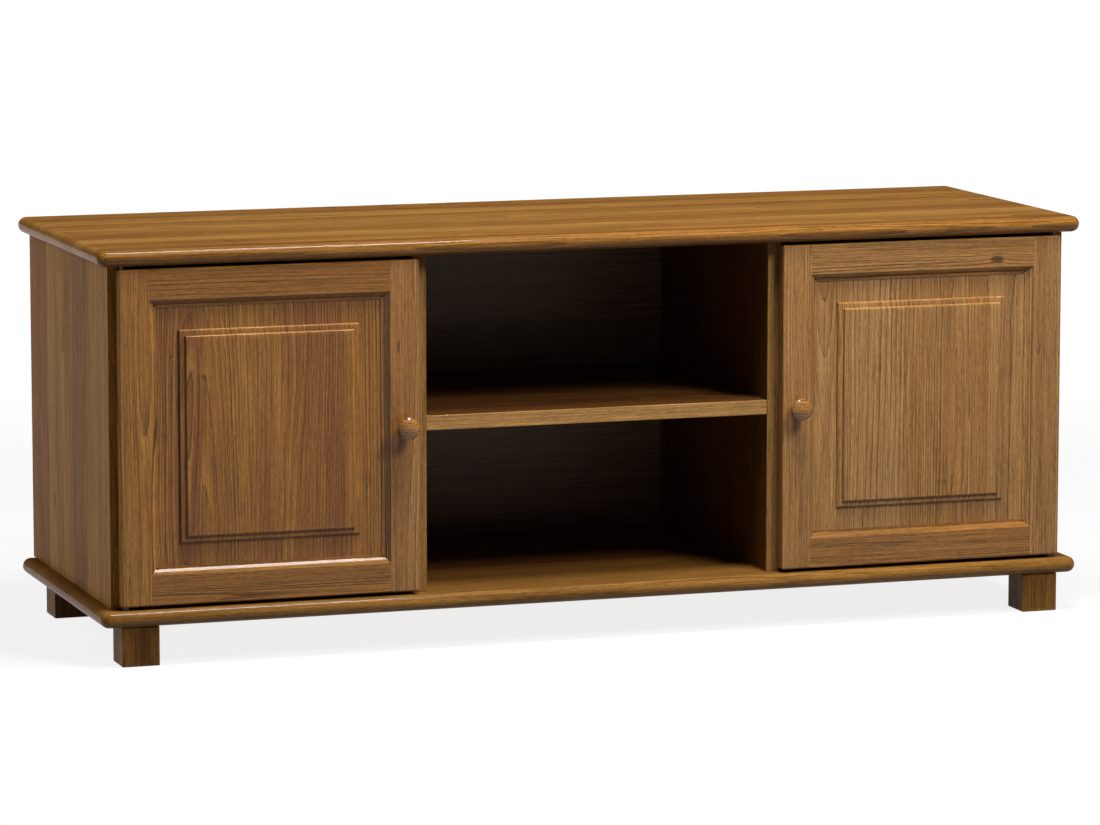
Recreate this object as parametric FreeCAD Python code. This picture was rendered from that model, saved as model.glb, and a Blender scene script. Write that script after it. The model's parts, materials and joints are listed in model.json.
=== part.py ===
import FreeCAD, Part
import math
import os

# A low solid-pine media cabinet: two panelled doors on pivot pins, with an open bay between them.
# Sizes are in millimetres. X runs along the width, Y from front to back and Z up.
# The origin is on the floor, in the middle of the cabinet's overall box.

# Top and base boards
board_width = 1400.0
board_depth = 473.0
board_thickness = 22.0
board_corner_extra = 1.1
board_edge_flat = 0.2

# Carcass between the two boards
carcass_height = 457.0
side_overhang = 18.0
front_overhang = 27.0
upright_thickness = 20.0
bay_width = 489.0
shelf_thickness = 20.0
middle_shelf_setback = 1.0
cupboard_shelf_setback = 25.0
cupboard_shelf_room = 1.0
front_edge_round = 1.0

# Back panel, housed in grooves
back_panel_thickness = 4.0
back_panel_setback = 12.0
back_groove_depth = 7.0
back_groove_room = 0.2
back_panel_room = 0.5

# Feet
foot_side = 51.0
foot_height = 53.0
foot_chamfer = 1.0
foot_end_inset = 28.0
foot_front_inset = 7.0
foot_rear_inset = 32.0

# Doors
door_thickness = 18.0
door_back_gap = 2.0
door_end_gap = 4.5
door_side_inset = 10.0
door_bay_reveal = 15.5
door_edge_round = 3.0

# Door frame section: flat face, then a quirk, a shallow ovolo and a narrow fillet at the panel
frame_width = 51.5
quirk_drop = 1.0
ovolo_width = 7.0
ovolo_drop = 5.8
ovolo_crown = 0.36
fillet_width = 3.5
groove_depth = 9.0
groove_room = 0.1

# Raised panel: thin edge in the grooves and two raised tiers
panel_recess = 8.0
panel_edge_thickness = 5.0
panel_room = 1.0
panel_margin = 30.5
tier_width = 8.0
tier_rise = 4.0
tier_round = 3.0

# Knob
knob_diameter = 30.0
knob_reach = 27.0
knob_crown = 7.0
knob_rim_round = 2.0
knob_swell = 9.0
knob_neck_diameter = 13.0
knob_foot_diameter = 17.0
knob_screw_diameter = 4.0
knob_screw_grip = 14.0
screw_recess_depth = 3.5

# Dowels, bolts and shelf pins
dowel_diameter = 8.0
dowel_in_board = 12.0
dowel_in_upright = 20.0
dowel_inset = 45.0
dowel_end_room = 0.5
glue_room = 0.05
foot_bolt_diameter = 10.0
foot_bolt_in_board = 14.0
foot_bolt_in_foot = 34.0
shelf_pin_diameter = 5.0
shelf_pin_in_wall = 10.0
shelf_pin_tab = 10.0
shelf_pin_tab_width = 9.0
shelf_pin_inset = 40.0

# Door pivots: a fixed pin below, a pin carried in the door above
pivot_inset = 7.0
pivot_pin_diameter = 6.0
pivot_bush_diameter = 9.0
pivot_running_room = 0.05
pivot_in_board = 14.0
pivot_in_door = 16.0
pivot_end_room = 1.0
pivot_collar_diameter = 12.0
pivot_collar_room = 0.1
upper_pin_in_door = 30.0

# Magnetic catches at the tops of the partitions
catch_length = 44.0
catch_width = 13.0
catch_depth = 18.0
catch_setback = 1.0
catch_top_gap = 12.0
magnet_length = 24.0
magnet_width = 8.0
magnet_depth = 12.0
magnet_gap = 0.3
strike_thickness = 1.2
strike_length = 34.0
strike_width = 12.0
strike_screw_inset = 5.0
catch_screw_inset = 5.0

# Small screws of the catches, strikes and back panel
screw_diameter = 3.0
screw_length = 14.0
screw_head_diameter = 6.0
screw_head_height = 1.8

ORIGIN = FreeCAD.Vector(0, 0, 0)
X_AXIS = FreeCAD.Vector(1, 0, 0)
Y_AXIS = FreeCAD.Vector(0, 1, 0)
Z_AXIS = FreeCAD.Vector(0, 0, 1)

# Places across the width, for the right-hand half
half_width = board_width / 2
carcass_half = half_width - side_overhang
side_inner = carcass_half - upright_thickness
side_middle = carcass_half - upright_thickness / 2
bay_half = bay_width / 2
partition_outer = bay_half + upright_thickness
partition_middle = bay_half + upright_thickness / 2
door_outer = carcass_half - door_side_inset
door_inner = bay_half + door_bay_reveal
frame_flat = frame_width - ovolo_width - fillet_width
knob_x = door_inner + frame_flat / 2
pivot_x = door_outer - pivot_inset

# Places from front to back
front_reach = max(front_overhang, door_back_gap + door_thickness + knob_reach)
overall_depth = front_reach + board_depth - front_overhang
carcass_front = front_reach - overall_depth / 2
board_front = carcass_front - front_overhang
board_back = board_front + board_depth
panel_back_face = board_back - back_panel_setback
panel_front_face = panel_back_face - back_panel_thickness
door_back = carcass_front - door_back_gap
door_front = door_back - door_thickness
pivot_y = (door_front + door_back) / 2
dowel_rows = [
    carcass_front + dowel_inset,
    (carcass_front + panel_front_face) / 2,
    panel_front_face - dowel_inset,
]

# Heights
base_bottom = foot_height
base_top = base_bottom + board_thickness
top_bottom = base_top + carcass_height
shelf_bottom = base_top + (carcass_height - shelf_thickness) / 2
shelf_top = shelf_bottom + shelf_thickness
door_bottom = base_top + door_end_gap
door_top = top_bottom - door_end_gap
knob_z = (door_bottom + door_top) / 2
catch_top = top_bottom - catch_top_gap
catch_z = catch_top - catch_length / 2


def block(x_span, y_span, z_span):
    """Box between the two ends of each span."""
    spans = (x_span, y_span, z_span)
    low = FreeCAD.Vector(*[min(span) for span in spans])
    sizes = [max(span) - min(span) for span in spans]
    return Part.makeBox(*sizes, low)


def peg(centre, direction, back, ahead, radius):
    """Round peg through a centre, reaching back behind it and ahead of it."""
    return Part.makeCylinder(radius, back + ahead, centre - direction * back, direction)


def closed_face(pieces):
    """Face inside a closed run of lines and arcs."""
    edges = [edge for piece in pieces for edge in piece.Edges]
    return Part.Face(Part.Wire(edges))


def mirrored(shape):
    """The same piece on the other side of the middle plane."""
    return shape.mirror(ORIGIN, X_AXIS)


def both_hands(shapes):
    """Right-hand pieces followed by their left-hand twins."""
    return shapes + [mirrored(shape) for shape in shapes]


def without(shape, tools):
    """Shape with every tool cut out of it."""
    return shape.cut(Part.makeCompound(tools))


def save(name, solids):
    """Write the solids of one named piece, or of one group of like pieces."""
    shape = solids[0] if len(solids) == 1 else Part.makeCompound(solids)
    shape.exportStep("parts/" + name + ".step")


def save_pair(name, shape):
    """Write a right-hand piece and its left-hand twin."""
    save("right_" + name, [shape])
    save("left_" + name, [mirrored(shape)])


def rounded_board(z_low):
    """Top or base board: round corners in plan and half-round edges all the way round."""
    x_span = (-half_width, half_width)
    board = block(x_span, (board_front, board_back), (z_low, z_low + board_thickness))
    edge_radius = (board_thickness - board_edge_flat) / 2
    corners = [edge for edge in board.Edges if edge.BoundBox.ZLength > board_thickness / 2]
    board = board.makeFillet(edge_radius + board_corner_extra, corners)
    rims = [edge for edge in board.Edges if edge.BoundBox.ZLength < board_edge_flat / 2]
    return board.makeFillet(edge_radius, rims)


def eased(board):
    """Upright or shelf with the two long edges of its front face rounded."""
    front = board.BoundBox.YMin + front_edge_round
    long_edge = board.BoundBox.YLength / 2
    edges = [edge for edge in board.Edges if edge.BoundBox.YMax < front and edge.Length > long_edge]
    return board.makeFillet(front_edge_round, edges)


def upright_pegs(radius, in_board, in_upright):
    """Pegs at both ends of the right-hand side panel and partition."""
    pegs = []
    for x in (side_middle, partition_middle):
        for y in dowel_rows:
            low = FreeCAD.Vector(x, y, base_top)
            high = FreeCAD.Vector(x, y, top_bottom)
            pegs.append(peg(low, Z_AXIS, in_board, in_upright, radius))
            pegs.append(peg(high, Z_AXIS, in_upright, in_board, radius))
    return pegs


def shelf_pegs(radius, in_partition, in_shelf):
    """Pegs at the right-hand end of the middle shelf."""
    height = (shelf_bottom + shelf_top) / 2
    centres = [FreeCAD.Vector(bay_half, y, height) for y in dowel_rows]
    return [peg(centre, X_AXIS, in_shelf, in_partition, radius) for centre in centres]


def foot_spans():
    """Plan spans of the right-hand front and rear feet."""
    outer = half_width - foot_end_inset
    front = board_front + foot_front_inset
    rear = board_back - foot_rear_inset
    x_span = (outer - foot_side, outer)
    return {"front": (x_span, (front, front + foot_side)), "rear": (x_span, (rear - foot_side, rear))}


def foot_pegs(radius, in_board, in_foot):
    """Upright bolts between the right-hand feet and the base board."""
    pegs = []
    for x_span, y_span in foot_spans().values():
        centre = FreeCAD.Vector(sum(x_span) / 2, sum(y_span) / 2, base_bottom)
        pegs.append(peg(centre, Z_AXIS, in_foot, in_board, radius))
    return pegs


def shelf_pin_seats():
    """Wall point and inward direction of each shelf pin in the right-hand cupboard."""
    rows = (
        carcass_front + cupboard_shelf_setback + shelf_pin_inset,
        panel_front_face - shelf_pin_inset,
    )
    height = shelf_bottom - shelf_pin_diameter / 2
    seats = []
    for y in rows:
        seats.append((FreeCAD.Vector(partition_outer, y, height), X_AXIS))
        seats.append((FreeCAD.Vector(side_inner, y, height), -X_AXIS))
    return seats


def shelf_pin(seat):
    """Round pin in the wall with a flat tab that the shelf lies on."""
    wall, inward = seat
    stem = peg(wall, inward, shelf_pin_in_wall - dowel_end_room, shelf_pin_tab / 2, shelf_pin_diameter / 2)
    tab = block(
        (wall.x, wall.x + inward.x * shelf_pin_tab),
        (wall.y - shelf_pin_tab_width / 2, wall.y + shelf_pin_tab_width / 2),
        (shelf_bottom - shelf_pin_diameter, shelf_bottom),
    )
    return stem.fuse(tab).removeSplitter()


def screw(seat, direction):
    """Small pan-head screw whose head bears on the seat and whose shank runs along direction."""
    head = peg(seat, direction, screw_head_height, 0, screw_head_diameter / 2)
    shank = peg(seat, direction, screw_head_height / 2, screw_length, screw_diameter / 2)
    return head.fuse(shank).removeSplitter()


def screw_hole(seat, direction):
    """Clear hole for a small screw's shank, with a recess for a head that is let in."""
    shank = peg(seat, direction, 0, screw_length + dowel_end_room, screw_diameter / 2 + glue_room)
    head = peg(seat, direction, screw_head_height + glue_room, 0, screw_head_diameter / 2 + glue_room)
    return shank.fuse(head)


def back_screw_seats():
    """Heads of the screws that hold the back panel to the right-hand partition."""
    lift = carcass_height / 6
    heights = [base_top + lift, shelf_bottom - lift / 2, top_bottom - lift]
    return [FreeCAD.Vector(partition_middle, panel_back_face, z) for z in heights]


def catch_screw_seats():
    """Heads of the two screws through the right-hand catch into the partition."""
    y = carcass_front + catch_setback + catch_depth / 2
    x = partition_outer + catch_width
    offset = catch_length / 2 - catch_screw_inset
    return [FreeCAD.Vector(x, y, catch_z + side * offset) for side in (-1, 1)]


def strike_screw_seats():
    """Flush screws that hold the right-hand strike plate to the door."""
    x = partition_outer + catch_width / 2
    offset = strike_length / 2 - strike_screw_inset
    y = door_back + strike_thickness - screw_head_height
    return [FreeCAD.Vector(x, y, catch_z + side * offset) for side in (-1, 1)]


def magnet_block(room):
    """Right-hand magnet, or the pocket for it when given some room."""
    x_middle = partition_outer + catch_width / 2
    front = door_back + strike_thickness + magnet_gap
    return block(
        (x_middle - magnet_width / 2 - room, x_middle + magnet_width / 2 + room),
        (front, front + magnet_depth + room),
        (catch_z - magnet_length / 2 - room, catch_z + magnet_length / 2 + room),
    )


def frame_section(place):
    """Section of a stile or rail: p runs in from its outer edge, q back from the door's front."""
    moulding_drop = quirk_drop + ovolo_drop
    groove_front = panel_recess - groove_room
    groove_back = panel_recess + panel_edge_thickness + groove_room
    groove_floor = frame_width - groove_depth
    face = Part.makePolygon([place(0, 0), place(frame_flat, 0), place(frame_flat, quirk_drop)])
    ovolo = Part.Wire(Part.Arc(
        place(frame_flat, quirk_drop),
        place(frame_flat + ovolo_width / 2, quirk_drop + ovolo_drop / 2 - ovolo_crown),
        place(frame_flat + ovolo_width, moulding_drop),
    ).toShape())
    rest = Part.makePolygon([
        place(frame_flat + ovolo_width, moulding_drop),
        place(frame_width, moulding_drop),
        place(frame_width, groove_front),
        place(groove_floor, groove_front),
        place(groove_floor, groove_back),
        place(frame_width, groove_back),
        place(frame_width, door_thickness),
        place(0, door_thickness),
        place(0, 0),
    ])
    return closed_face([face, ovolo, rest])


def door_envelope():
    """Outer block of the right-hand door with its edges rounded."""
    envelope = block((door_inner, door_outer), (door_front, door_back), (door_bottom, door_top))
    return envelope.makeFillet(door_edge_round, envelope.Edges)


def stile(edge_x, inward):
    """Full-height stile, from its outer edge inwards."""
    section = frame_section(lambda p, q: FreeCAD.Vector(edge_x + inward * p, door_front + q, door_bottom))
    return section.extrude(Z_AXIS * (door_top - door_bottom))


def rail(edge_z, inward, stiles):
    """Rail between the stiles, with its ends shaped to fit over their mouldings."""
    start = door_inner + frame_flat
    section = frame_section(lambda p, q: FreeCAD.Vector(start, door_front + q, edge_z + inward * p))
    length = door_outer - frame_flat - start
    return without(section.extrude(X_AXIS * length), stiles)


def raised_tier(inset, front):
    """One raised step of the door panel, with its front edges eased."""
    back = door_front + panel_recess + panel_edge_thickness
    tier = block(
        (door_inner + frame_width + inset, door_outer - frame_width - inset),
        (front, back),
        (door_bottom + frame_width + inset, door_top - frame_width - inset),
    )
    rim = [edge for edge in tier.Edges if edge.BoundBox.YMax < (front + back) / 2]
    return tier.makeFillet(tier_round, rim)


def raised_panel():
    """Door panel: a thin edge held in the grooves and two raised tiers."""
    tongue = groove_depth - panel_room
    front = door_front + panel_recess
    panel = block(
        (door_inner + frame_width - tongue, door_outer - frame_width + tongue),
        (front, front + panel_edge_thickness),
        (door_bottom + frame_width - tongue, door_top - frame_width + tongue),
    )
    for step in (1, 2):
        tier = raised_tier(panel_margin + (step - 1) * tier_width, front - step * tier_rise)
        panel = panel.fuse(tier)
    return panel.removeSplitter()


def outer_meeting(first, first_radius, second, second_radius):
    """Point at given distances from two points of a turned section, on the side away from its axis."""
    line = second - first
    gap = line.Length
    along = (gap ** 2 + first_radius ** 2 - second_radius ** 2) / (2 * gap)
    aside = math.sqrt(first_radius ** 2 - along ** 2)
    outwards = FreeCAD.Vector(line.y, -line.x, 0)
    return first + line * (along / gap) + outwards * (aside / gap)


def bow(middle, radius, start_way, end_way, place):
    """Arc about a middle between two unit directions, set in place."""
    half_way = (start_way + end_way).normalize()
    points = [middle + way * radius for way in (start_way, half_way, end_way)]
    return Part.Arc(*[place(point.x, point.y) for point in points]).toShape()


def knob():
    """Turned mushroom knob with a shallow crown, a rounded rim, a waisted neck and a small foot."""
    rim_radius = knob_diameter / 2
    crown_base = knob_reach - knob_crown
    neck_end = FreeCAD.Vector(knob_neck_diameter / 2, crown_base - knob_swell, 0)
    swell_drop = rim_radius - neck_end.x
    crown_radius = (rim_radius ** 2 + knob_crown ** 2) / (2 * knob_crown)
    swell_radius = (knob_swell ** 2 + swell_drop ** 2) / (2 * swell_drop)
    crown_middle = FreeCAD.Vector(0, knob_reach - crown_radius, 0)
    swell_middle = FreeCAD.Vector(rim_radius - swell_radius, crown_base, 0)
    rim_middle = outer_meeting(
        crown_middle, crown_radius - knob_rim_round, swell_middle, swell_radius - knob_rim_round)
    to_rim_front = (rim_middle - crown_middle).normalize()
    to_rim_back = (rim_middle - swell_middle).normalize()
    to_neck = (neck_end - swell_middle).normalize()

    def place(radius, reach):
        return FreeCAD.Vector(knob_x + radius, door_front - reach, knob_z)

    foot = Part.makePolygon([
        place(0, knob_reach),
        place(0, 0),
        place(knob_foot_diameter / 2, 0),
        place(neck_end.x, neck_end.y),
    ])
    swell = bow(swell_middle, swell_radius, to_neck, to_rim_back, place)
    rim = bow(rim_middle, knob_rim_round, to_rim_back, to_rim_front, place)
    crown = bow(crown_middle, crown_radius, to_rim_front, FreeCAD.Vector(0, 1, 0), place)
    section = closed_face([Part.Wire(Part.sortEdges(foot.Edges + swell.Edges + rim.Edges + crown.Edges)[0])])
    turned = section.revolve(FreeCAD.Vector(knob_x, door_front, knob_z), Y_AXIS, 360)
    return Part.Solid(turned) if turned.ShapeType == "Shell" else turned


def knob_screw_pegs(room):
    """Shank and head of the knob screw, or the hole for them when given some room."""
    axis = FreeCAD.Vector(knob_x, door_back, knob_z)
    seat = axis - Y_AXIS * screw_recess_depth
    grip = door_thickness - screw_recess_depth + knob_screw_grip
    shank = peg(seat, -Y_AXIS, 0, grip + room, knob_screw_diameter / 2 + room)
    head = peg(seat, -Y_AXIS, screw_recess_depth - dowel_end_room + 2 * room, 0, knob_screw_diameter + room)
    return shank, head


def lower_pivot_pin():
    """Fixed pin in the base board, with a collar that carries the right-hand door."""
    foot = FreeCAD.Vector(pivot_x, pivot_y, base_top)
    pin = peg(foot, Z_AXIS, pivot_in_board - pivot_end_room, door_end_gap + pivot_in_door - pivot_end_room,
              pivot_pin_diameter / 2)
    collar = peg(foot, Z_AXIS, 0, door_end_gap - pivot_collar_room, pivot_collar_diameter / 2)
    return pin.fuse(collar).removeSplitter()


def pivot_bush(mouth, inward, depth):
    """Plain bush let into the wood from its mouth."""
    bush = peg(mouth, inward, 0, depth, pivot_bush_diameter / 2)
    bore_radius = pivot_pin_diameter / 2 + pivot_running_room
    bore = peg(mouth, inward, pivot_end_room, depth + pivot_end_room, bore_radius)
    return bush.cut(bore)


def build_carcass():
    """Everything that stands still."""
    hole_radius = dowel_diameter / 2 + glue_room
    upright_holes = upright_pegs(hole_radius, dowel_in_board, dowel_in_upright)
    shelf_holes = shelf_pegs(hole_radius, dowel_in_board, dowel_in_upright)
    foot_holes = foot_pegs(foot_bolt_diameter / 2 + glue_room, foot_bolt_in_board, foot_bolt_in_foot)
    pin_holes = [
        peg(wall, inward, shelf_pin_in_wall, 0, shelf_pin_diameter / 2 + glue_room)
        for wall, inward in shelf_pin_seats()
    ]
    back_screw_holes = [screw_hole(seat, -Y_AXIS) for seat in back_screw_seats()]
    catch_holes = [screw_hole(seat, -X_AXIS) for seat in catch_screw_seats()]
    lower_mouth = FreeCAD.Vector(pivot_x, pivot_y, base_top)
    upper_mouth = FreeCAD.Vector(pivot_x, pivot_y, top_bottom)
    pin_seat = peg(lower_mouth, Z_AXIS, pivot_in_board, 0, pivot_pin_diameter / 2 + glue_room)
    bush_seat = peg(upper_mouth, Z_AXIS, 0, pivot_in_board, pivot_bush_diameter / 2 + glue_room)

    back_groove = block(
        (-side_inner - back_groove_depth, side_inner + back_groove_depth),
        (panel_front_face - back_groove_room / 2, panel_back_face + back_groove_room / 2),
        (base_top - back_groove_depth, top_bottom + back_groove_depth),
    )

    base_holes = both_hands(upright_holes + foot_holes + [pin_seat]) + [back_groove]
    top_holes = both_hands(upright_holes + [bush_seat]) + [back_groove]
    save("base_board", [without(rounded_board(base_bottom), base_holes)])
    save("top_board", [without(rounded_board(top_bottom), top_holes)])

    heights = (base_top, top_bottom)
    side = block((side_inner, carcass_half), (carcass_front, board_back), heights)
    save_pair("side_panel", without(eased(side), upright_holes + pin_holes + [back_groove]))

    partition = block((bay_half, partition_outer), (carcass_front, panel_front_face), heights)
    partition_holes = upright_holes + shelf_holes + pin_holes + back_screw_holes + catch_holes
    save_pair("partition", without(eased(partition), partition_holes))

    middle_shelf = block(
        (-bay_half, bay_half),
        (carcass_front + middle_shelf_setback, panel_front_face),
        (shelf_bottom, shelf_top),
    )
    save("middle_shelf", [without(eased(middle_shelf), both_hands(shelf_holes))])

    cupboard_shelf = block(
        (partition_outer + cupboard_shelf_room, side_inner - cupboard_shelf_room),
        (carcass_front + cupboard_shelf_setback, panel_front_face - cupboard_shelf_room),
        (shelf_bottom, shelf_top),
    )
    save_pair("cupboard_shelf", eased(cupboard_shelf))

    back_reach = back_groove_depth - back_panel_room
    back_panel = block(
        (-side_inner - back_reach, side_inner + back_reach),
        (panel_front_face, panel_back_face),
        (base_top - back_reach, top_bottom + back_reach),
    )
    save("back_panel", [without(back_panel, both_hands(back_screw_holes))])

    for place, (x_span, y_span) in foot_spans().items():
        foot = block(x_span, y_span, (0, base_bottom))
        arrises = [edge for edge in foot.Edges if edge.BoundBox.ZMin < base_bottom / 2]
        foot = without(foot.makeChamfer(foot_chamfer, arrises), foot_holes)
        save_pair(place + "_foot", foot)

    save_fastenings()
    save_catches()
    save("lower_pivot_pins", both_hands([lower_pivot_pin()]))
    save("upper_pivot_bushes", both_hands([pivot_bush(upper_mouth, Z_AXIS, pivot_in_board)]))


def save_fastenings():
    """Dowels, foot bolts, shelf pins and back panel screws, each kind as one group."""
    in_board = dowel_in_board - dowel_end_room
    in_upright = dowel_in_upright - dowel_end_room
    save("upright_dowels", both_hands(upright_pegs(dowel_diameter / 2, in_board, in_upright)))
    save("shelf_dowels", both_hands(shelf_pegs(dowel_diameter / 2, in_board, in_upright)))
    bolt_in_board = foot_bolt_in_board - dowel_end_room
    bolt_in_foot = foot_bolt_in_foot - dowel_end_room
    save("foot_bolts", both_hands(foot_pegs(foot_bolt_diameter / 2, bolt_in_board, bolt_in_foot)))
    save("shelf_pins", both_hands([shelf_pin(seat) for seat in shelf_pin_seats()]))
    save("back_panel_screws", both_hands([screw(seat, -Y_AXIS) for seat in back_screw_seats()]))


def save_catches():
    """Magnetic catches on the partitions: cases, magnets and screws."""
    case = block(
        (partition_outer, partition_outer + catch_width),
        (carcass_front + catch_setback, carcass_front + catch_setback + catch_depth),
        (catch_z - catch_length / 2, catch_z + catch_length / 2),
    )
    holes = [screw_hole(seat, -X_AXIS) for seat in catch_screw_seats()]
    case = without(case, holes + [magnet_block(glue_room)])
    save("catch_cases", both_hands([case]))
    save("catch_magnets", both_hands([magnet_block(0)]))
    save("catch_screws", both_hands([screw(seat, -X_AXIS) for seat in catch_screw_seats()]))


def build_door():
    """Right-hand door and its left-hand twin."""
    lower_mouth = FreeCAD.Vector(pivot_x, pivot_y, door_bottom)
    upper_mouth = FreeCAD.Vector(pivot_x, pivot_y, door_top)
    bush_seat = peg(lower_mouth, Z_AXIS, 0, pivot_in_door, pivot_bush_diameter / 2 + glue_room)
    pin_seat = peg(upper_mouth, Z_AXIS, upper_pin_in_door, 0, pivot_pin_diameter / 2 + glue_room)
    strike_holes = [screw_hole(seat, -Y_AXIS) for seat in strike_screw_seats()]
    knob_holes = list(knob_screw_pegs(glue_room))

    envelope = door_envelope()
    hinge_stile = stile(door_outer, -1)
    knob_stile = stile(door_inner, 1)
    save_pair("door_hinge_stile", without(hinge_stile.common(envelope), [bush_seat, pin_seat]))
    save_pair("door_knob_stile", without(knob_stile.common(envelope), strike_holes + knob_holes))
    stiles = [hinge_stile, knob_stile]
    save_pair("door_top_rail", rail(door_top, -1, stiles).common(envelope))
    save_pair("door_bottom_rail", rail(door_bottom, 1, stiles).common(envelope))
    save_pair("door_panel", raised_panel())

    save_pair("door_knob", without(knob(), knob_holes))
    shank, head = knob_screw_pegs(0)
    save_pair("knob_screw", shank.fuse(head).removeSplitter())

    save_pair("lower_pivot_bush", pivot_bush(lower_mouth, Z_AXIS, pivot_in_door))
    upper_pin = peg(upper_mouth, Z_AXIS, upper_pin_in_door - dowel_end_room,
                    door_end_gap + pivot_in_board - pivot_end_room, pivot_pin_diameter / 2)
    save_pair("upper_pivot_pin", upper_pin)

    strike_x = partition_outer + catch_width / 2
    strike = block(
        (strike_x - strike_width / 2, strike_x + strike_width / 2),
        (door_back, door_back + strike_thickness),
        (catch_z - strike_length / 2, catch_z + strike_length / 2),
    )
    save_pair("strike_plate", without(strike, strike_holes))
    screws = [screw(seat, -Y_AXIS) for seat in strike_screw_seats()]
    save("right_strike_screws", screws)
    save("left_strike_screws", [mirrored(piece) for piece in screws])


os.makedirs("parts", exist_ok=True)
build_carcass()
build_door()
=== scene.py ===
import json
import math

import bmesh
import bpy
from bpy.props import FloatProperty, FloatVectorProperty, IntProperty, PointerProperty
from bpy.types import Operator, Panel, PropertyGroup
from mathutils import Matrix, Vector

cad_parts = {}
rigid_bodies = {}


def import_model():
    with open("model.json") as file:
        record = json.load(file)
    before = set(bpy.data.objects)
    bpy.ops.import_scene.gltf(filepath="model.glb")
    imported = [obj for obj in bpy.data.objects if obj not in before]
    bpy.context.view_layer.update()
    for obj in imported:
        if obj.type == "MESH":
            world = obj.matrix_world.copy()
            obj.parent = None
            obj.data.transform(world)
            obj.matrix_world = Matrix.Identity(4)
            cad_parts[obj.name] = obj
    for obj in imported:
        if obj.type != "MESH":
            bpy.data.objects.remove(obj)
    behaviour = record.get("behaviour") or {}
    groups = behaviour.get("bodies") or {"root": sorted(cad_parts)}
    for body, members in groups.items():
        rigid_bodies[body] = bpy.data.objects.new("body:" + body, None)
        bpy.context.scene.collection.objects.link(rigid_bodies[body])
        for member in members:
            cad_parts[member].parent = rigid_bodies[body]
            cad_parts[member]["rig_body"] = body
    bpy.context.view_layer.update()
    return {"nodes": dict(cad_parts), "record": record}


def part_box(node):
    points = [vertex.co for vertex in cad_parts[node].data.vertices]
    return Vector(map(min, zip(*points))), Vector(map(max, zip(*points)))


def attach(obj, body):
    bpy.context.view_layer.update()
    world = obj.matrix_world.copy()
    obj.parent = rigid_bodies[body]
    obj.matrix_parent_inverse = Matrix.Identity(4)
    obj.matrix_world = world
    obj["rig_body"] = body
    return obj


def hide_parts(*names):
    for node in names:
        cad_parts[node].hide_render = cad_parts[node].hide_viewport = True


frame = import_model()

bl_info = {
    "name": "Pine media cabinet",
    "version": (1, 0, 0),
    "blender": (4, 5, 0),
    "location": "3D View > Sidebar > Cabinet",
    "description": "Dresses a low media cabinet in stained pine, with its hardware and a plain studio",
    "category": "Object",
}

# Grain directions: the axis that the fibres follow, the axis across the staves and the axis of thickness
LYING = ("X", "Y", "Z")
STANDING_SIDEWAYS = ("Z", "Y", "X")
STANDING_FRONTWAYS = ("Z", "X", "Y")
RAILWISE = ("X", "Z", "Y")

HANDS = ("left", "right")

# Noises of the pine, in steps to the metre along the fibres, across the staves and through the board
FIBRE = (9.0, 760.0, 760.0)
STRAND = (3.0, 230.0, 230.0)
PORE = (110.0, 640.0, 640.0)
FLECK = (26.0, 520.0, 520.0)
FRAY = (24.0, 520.0, 520.0)
STREAK = (9.0, 260.0, 60.0)
CROOK = (4.0, 30.0, 30.0)
SWELL = (2.5, 40.0, 40.0)
BROAD = (1.7, 14.0, 14.0)
BLOTCH = (9.0, 30.0, 30.0)
KNOT_CELL = (2.6, 6.5, 0.0)

# Lengths in the pine: how deep its heart lies and wanders, how far the rings and their edges waver, the
# largest scattered knot, and where a growth line starts and is full
HEART_DEPTH = 0.014
HEART_RANGE = 0.05
HEART_SWAY = 0.035
HEART_DIP = 0.04
RING_WAVER = 0.0032
FRAY_DEPTH = 0.0012
LARGEST_KNOT = 0.006
LINE_START = 0.0021
LINE_FULL = 0.0004

# What each pine piece can set, and the settings of a piece that names no other
PINE_INPUTS = (
    "Along", "Across", "Depth", "Seed", "Stave", "Ring", "Heart", "Cut", "Figure", "Tone", "Spread",
    "Faded", "Ruddy", "Painted shade", "Wear", "Edge", "Rub and painted light", "Knot along", "Knot across", "Knot size",
)
PINE_LOOK = {
    "Stave": 0.09, "Ring": 0.0038, "Cut": 1.0, "Figure": 1.0, "Tone": 0.25, "Spread": 0.4, "Ruddy": 0.4,
    "Painted shade": 1.0, "Rub and painted light": 0.3,
}

# Share of a wide board's thickness that its figure follows
WIDE_CUT = 0.15

# Corners that turn by more than this stay sharp
SHARP_ANGLE = math.radians(35)

# Points this close together count as one in a new shell, and in a CAD node
WELD = 0.0000005
CLOSE = 0.00001

# Facets of an eased edge, a door's edge, its moulding, a tier's edge, an arc on a knob and a knob's rim
EASE_STEPS = 4
ROUND_STEPS = 5
MOULDING_STEPS = 8
TIER_STEPS = 4
KNOB_ARC_STEPS = 14
RIM_STEPS = 6


# Settings: a colour, a length, a share from 0 to 1, a whole number and any number
def paint(label, about, default):
    return FloatVectorProperty(
        name=label, description=about, default=default, subtype="COLOR", min=0, max=1)


def metres(label, about, default):
    return FloatProperty(name=label, description=about, default=default, unit="LENGTH", subtype="DISTANCE")


def fraction(label, about, default):
    return FloatProperty(name=label, description=about, default=default, min=0, max=1, subtype="FACTOR")


def count(label, about, default):
    return IntProperty(name=label, description=about, default=default)


def number(label, about, default, subtype="NONE"):
    return FloatProperty(name=label, description=about, default=default, subtype=subtype)


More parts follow.
